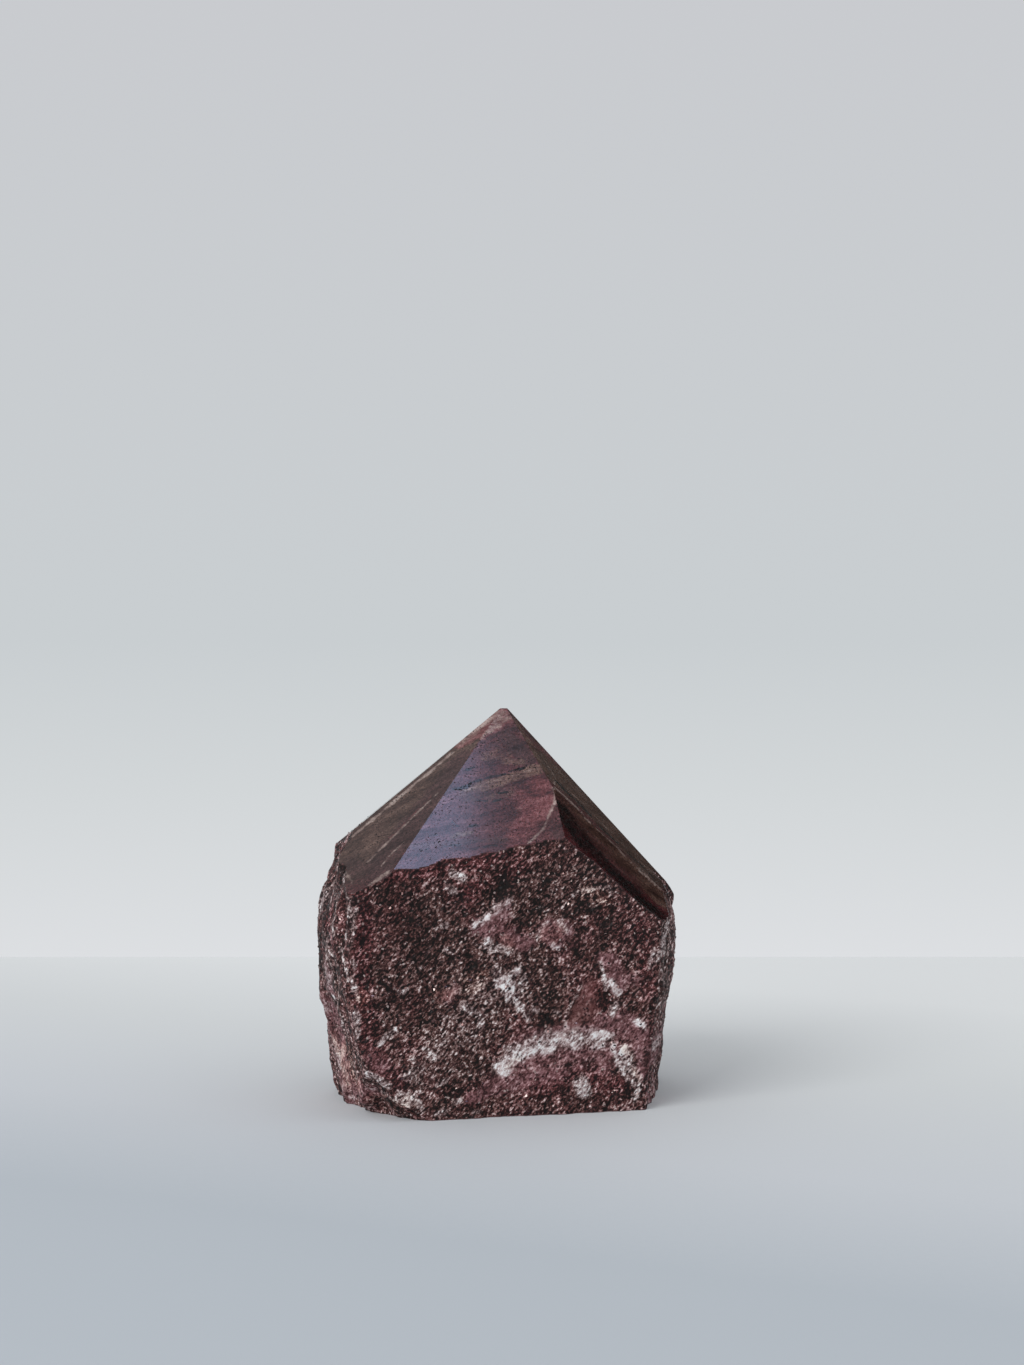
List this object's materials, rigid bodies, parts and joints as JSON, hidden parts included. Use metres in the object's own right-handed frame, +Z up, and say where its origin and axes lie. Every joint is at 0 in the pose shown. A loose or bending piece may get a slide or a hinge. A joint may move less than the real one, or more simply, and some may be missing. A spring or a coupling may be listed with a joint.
{
  "type": "semi-polished mineral point",
  "caption": "Maroon mica-rich stone standing on a flat sawn foot, with rough sparkling broken sides and a ground, polished faceted point on top",
  "frame": {"origin": "middle of the bounding box in plan, at the level of the sawn foot", "axes": "+Z up through the polished point, -Y out of the broad rough front with the polished flat above it, +X to the right of somebody who faces that front"},
  "size_m": [0.0572, 0.05, 0.0622],
  "materials": {
    "stone": "raw, granular and sparkling on the broken sides, ground and polished to a soft shine on the flats of the point, sawn and matt under the foot"
  },
  "bodies": {
    "root": {"stone": "stone"}
  },
  "joints": []
}
